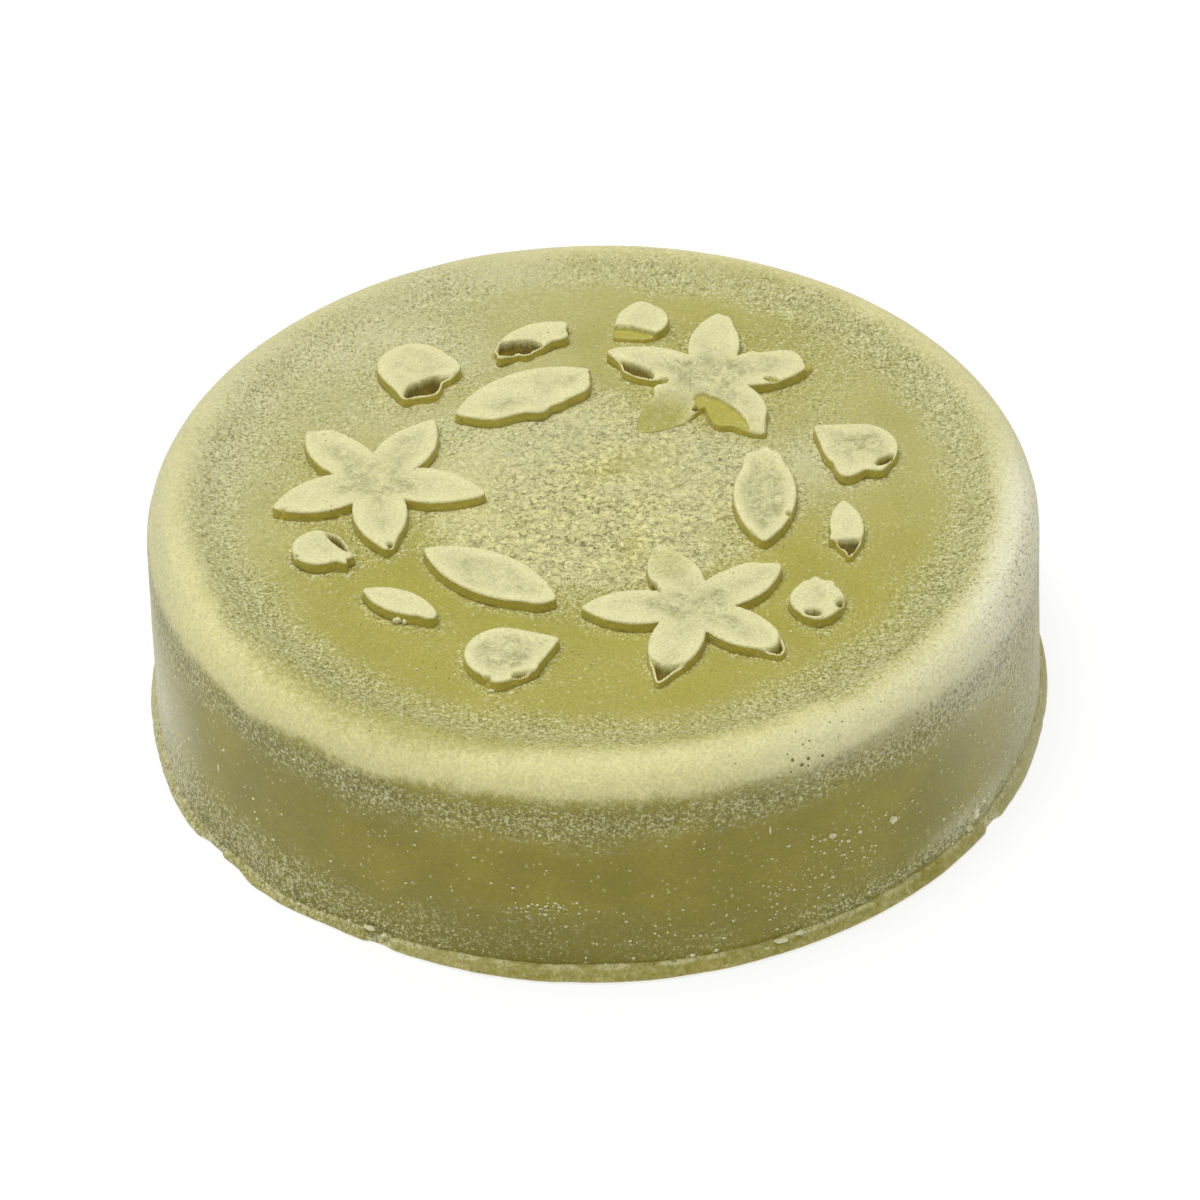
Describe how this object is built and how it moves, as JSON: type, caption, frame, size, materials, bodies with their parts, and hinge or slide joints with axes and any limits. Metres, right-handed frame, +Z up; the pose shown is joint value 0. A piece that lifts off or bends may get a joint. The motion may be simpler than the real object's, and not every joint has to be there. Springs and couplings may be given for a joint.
{
  "type": "shaving soap puck",
  "caption": "Round cast soap puck with a softly rounded shoulder, a slightly sunken top and a wreath of raised flowers, leaves and petals, for lathering with a shaving brush.",
  "frame": {"origin": "centre of the underside, on the surface that the puck rests on", "axes": "+Z up out of the decorated top face; -Y towards the side that the front flower faces; +X to the right seen from there"},
  "size_m": [0.076, 0.076, 0.0204],
  "materials": {
    "soap_body": "cast soap, olive, waxy satin with a pale ash bloom",
    "soap_flash": "cast soap, thin paler edge, chipped",
    "soap_relief": "cast soap, cream where it stands proud and has dried"
  },
  "bodies": {
    "root": {"puck_body": "soap_body", "foot_flash": "soap_flash", "flower_left": "soap_relief", "flower_front": "soap_relief", "flower_back": "soap_relief", "large_leaf_left": "soap_relief", "large_leaf_front": "soap_relief", "large_leaf_back": "soap_relief", "small_leaf_left": "soap_relief", "small_leaf_front": "soap_relief", "small_leaf_back": "soap_relief", "large_petal_left": "soap_relief", "large_petal_front": "soap_relief", "large_petal_back": "soap_relief", "small_petal_left": "soap_relief", "small_petal_front": "soap_relief", "small_petal_back": "soap_relief"}
  },
  "joints": []
}
